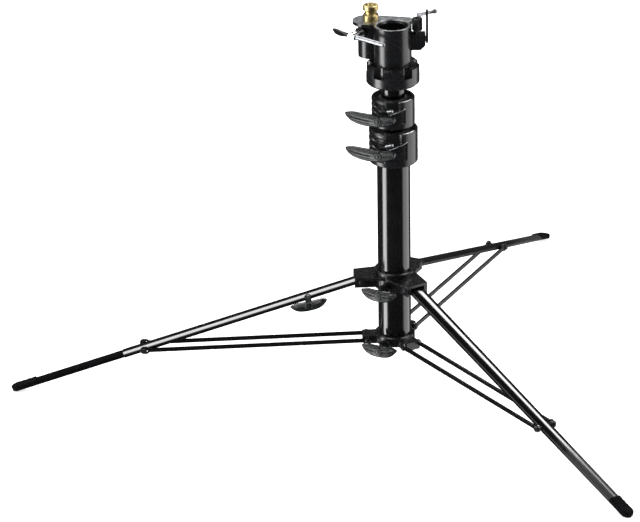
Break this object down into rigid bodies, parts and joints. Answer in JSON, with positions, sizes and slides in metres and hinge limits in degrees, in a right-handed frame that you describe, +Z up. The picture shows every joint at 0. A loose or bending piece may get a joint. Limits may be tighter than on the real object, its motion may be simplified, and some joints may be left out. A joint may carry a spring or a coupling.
{
  "type": "lighting stand",
  "caption": "Low three-legged lighting stand with braced legs, two lever-locked risers, a levelling leg, and a head with a spigot socket and a brass spigot.",
  "frame": {"origin": "on the column's axis, at floor level", "axes": "+Z up the column, out of the socket; the left leg points close to -X, and the front of the stand, with its levers, faces -Y"},
  "size_m": [0.648, 0.7138, 0.4174],
  "materials": {
    "black_gloss_paint": "gloss black paint on steel",
    "black_casting": "black powder coat on cast aluminium",
    "chrome": "bright chrome plate",
    "brass": "turned brass",
    "grip_plastic": "satin black moulded plastic",
    "foot_plastic": "black moulded foot",
    "bush_plastic": "dark acetal",
    "black_steel": "blackened steel fasteners",
    "zinc_steel": "zinc-plated steel"
  },
  "bodies": {
    "column": {"column_tube": "black_gloss_paint", "column_end_plug": "bush_plastic", "lower_riser_collar": "black_casting", "lower_collar_bush": "bush_plastic", "lower_clamp_shoe": "brass"},
    "lower_lever": {"lower_collar_lever": "grip_plastic", "lower_collar_screw": "zinc_steel"},
    "riser_1": {"riser_1_tube": "black_gloss_paint", "riser_1_foot_bush": "bush_plastic", "upper_riser_collar": "black_casting", "upper_collar_bush": "bush_plastic", "upper_clamp_shoe": "brass"},
    "upper_lever": {"upper_collar_lever": "grip_plastic", "upper_collar_screw": "zinc_steel"},
    "riser_2": {"riser_2_tube": "black_gloss_paint", "riser_2_foot_bush": "bush_plastic", "head_casting": "black_casting", "head_roll_pin": "zinc_steel", "lug_post": "chrome", "lug_post_cap": "grip_plastic"},
    "spigot": {"brass_spigot": "brass"},
    "spigot_screw": {"spigot_lock_screw": "chrome"},
    "tommy_bar": {"spigot_lock_bar": "chrome"},
    "socket_lever": {"socket_lock_screw": "zinc_steel", "socket_lock_lever": "black_steel", "socket_lock_bar": "chrome"},
    "lower_slider": {"lower_spider": "black_casting", "brace_hinge_pins": "black_steel"},
    "lower_knob": {"lower_spider_knob": "grip_plastic", "lower_spider_screw": "zinc_steel"},
    "upper_slider": {"upper_spider": "black_casting", "leg_hinge_pins": "black_steel"},
    "upper_knob": {"upper_spider_knob": "grip_plastic", "upper_spider_screw": "zinc_steel"},
    "left_leg": {"left_leg_sheath": "black_gloss_paint", "left_brace_studs": "black_steel"},
    "left_slider": {"left_levelling_leg": "black_gloss_paint", "left_foot": "foot_plastic"},
    "level_knob": {"levelling_knob": "grip_plastic", "levelling_screw": "zinc_steel"},
    "front_leg": {"front_leg": "black_gloss_paint", "front_foot": "foot_plastic", "front_brace_bolt": "black_steel", "front_brace_spacers": "black_steel"},
    "back_leg": {"back_leg": "black_gloss_paint", "back_foot": "foot_plastic", "back_brace_bolt": "black_steel", "back_brace_spacers": "black_steel"},
    "left_brace": {"left_brace_near": "black_gloss_paint", "left_brace_far": "black_gloss_paint"},
    "front_brace": {"front_brace_near": "black_gloss_paint", "front_brace_far": "black_gloss_paint"},
    "back_brace": {"back_brace_near": "black_gloss_paint", "back_brace_far": "black_gloss_paint"}
  },
  "joints": [
    {"name": "riser_1_slide", "type": "slide", "parent": "column", "child": "riser_1", "axis": [0, 0, 1], "range_m": [0, 0.165]},
    {"name": "riser_2_slide", "type": "slide", "parent": "riser_1", "child": "riser_2", "axis": [0, 0, 1], "range_m": [0, 0.175]},
    {"name": "lower_lever_turn", "type": "hinge", "parent": "column", "child": "lower_lever", "pos_m": [0, 0, 0.2685], "axis": [-0.4067, -0.9135, 0], "range_deg": [0, 45]},
    {"name": "upper_lever_turn", "type": "hinge", "parent": "riser_1", "child": "upper_lever", "pos_m": [0, 0, 0.3075], "axis": [-0.4067, -0.9135, 0], "range_deg": [0, 45]},
    {"name": "spigot_lift", "type": "slide", "parent": "riser_2", "child": "spigot", "axis": [0, 0, 1], "range_m": [0, 0.03]},
    {"name": "spigot_screw_turn", "type": "hinge", "parent": "riser_2", "child": "spigot_screw", "pos_m": [-0.0225, 0.016, 0.3905], "axis": [-0.6428, -0.766, 0], "range_deg": [0, 360]},
    {"name": "tommy_bar_slide", "type": "slide", "parent": "spigot_screw", "child": "tommy_bar", "axis": [-0.766, 0.6428, 0], "range_m": [0, 0.0162]},
    {"name": "socket_lever_turn", "type": "hinge", "parent": "riser_2", "child": "socket_lever", "pos_m": [0, 0, 0.3855], "axis": [1, 0, 0], "range_deg": [0, 120]},
    {"name": "leg_set_slide", "type": "slide", "parent": "column", "child": "lower_slider", "axis": [0, 0, 1], "range_m": [0, 0.025]},
    {"name": "spider_fold", "type": "slide", "parent": "lower_slider", "child": "upper_slider", "axis": [0, 0, 1], "range_m": [0, 0.09]},
    {"name": "lower_knob_turn", "type": "hinge", "parent": "lower_slider", "child": "lower_knob", "pos_m": [0, 0, 0.0455], "axis": [-0.4289, -0.9033, 0], "range_deg": [0, 180]},
    {"name": "upper_knob_turn", "type": "hinge", "parent": "upper_slider", "child": "upper_knob", "pos_m": [0, 0, 0.11], "axis": [-0.4289, -0.9033, 0], "range_deg": [0, 180]},
    {"name": "left_leg_fold", "type": "hinge", "parent": "upper_slider", "child": "left_leg", "pos_m": [-0.03589, -0.00286, 0.116], "axis": [0.0796, -0.9968, 0], "range_deg": [0, 6.15]},
    {"name": "left_brace_fold", "type": "hinge", "parent": "lower_slider", "child": "left_brace", "pos_m": [-0.02991, -0.00239, 0.047], "axis": [0.0796, -0.9968, 0], "range_deg": [-15.92, 0]},
    {"name": "front_leg_fold", "type": "hinge", "parent": "upper_slider", "child": "front_leg", "pos_m": [0.02042, -0.02965, 0.116], "axis": [0.8235, 0.5673, 0], "range_deg": [0, 6.15]},
    {"name": "front_brace_fold", "type": "hinge", "parent": "lower_slider", "child": "front_brace", "pos_m": [0.01702, -0.0247, 0.047], "axis": [0.8235, 0.5673, 0], "range_deg": [-15.92, 0]},
    {"name": "back_leg_fold", "type": "hinge", "parent": "upper_slider", "child": "back_leg", "pos_m": [0.01546, 0.03251, 0.116], "axis": [-0.9031, 0.4295, 0], "range_deg": [0, 6.15]},
    {"name": "back_brace_fold", "type": "hinge", "parent": "lower_slider", "child": "back_brace", "pos_m": [0.01289, 0.02709, 0.047], "axis": [-0.9031, 0.4295, 0], "range_deg": [-15.92, 0]},
    {"name": "levelling_slide", "type": "slide", "parent": "left_leg", "child": "left_slider", "axis": [-0.9545, -0.0762, -0.2883], "range_m": [0, 0.045]},
    {"name": "level_knob_turn", "type": "hinge", "parent": "left_leg", "child": "level_knob", "pos_m": [-0.09268, -0.0074, 0.09884], "axis": [0.0796, -0.9968, 0], "range_deg": [0, 180]}
  ],
  "couplings": [
    {"joint": "left_leg_fold", "follows": "spider_fold", "rad_per_m": 1.1887},
    {"joint": "left_brace_fold", "follows": "spider_fold", "rad_per_m": -3.0834},
    {"joint": "front_leg_fold", "follows": "spider_fold", "rad_per_m": 1.1887},
    {"joint": "front_brace_fold", "follows": "spider_fold", "rad_per_m": -3.0834},
    {"joint": "back_leg_fold", "follows": "spider_fold", "rad_per_m": 1.1887},
    {"joint": "back_brace_fold", "follows": "spider_fold", "rad_per_m": -3.0834}
  ]
}
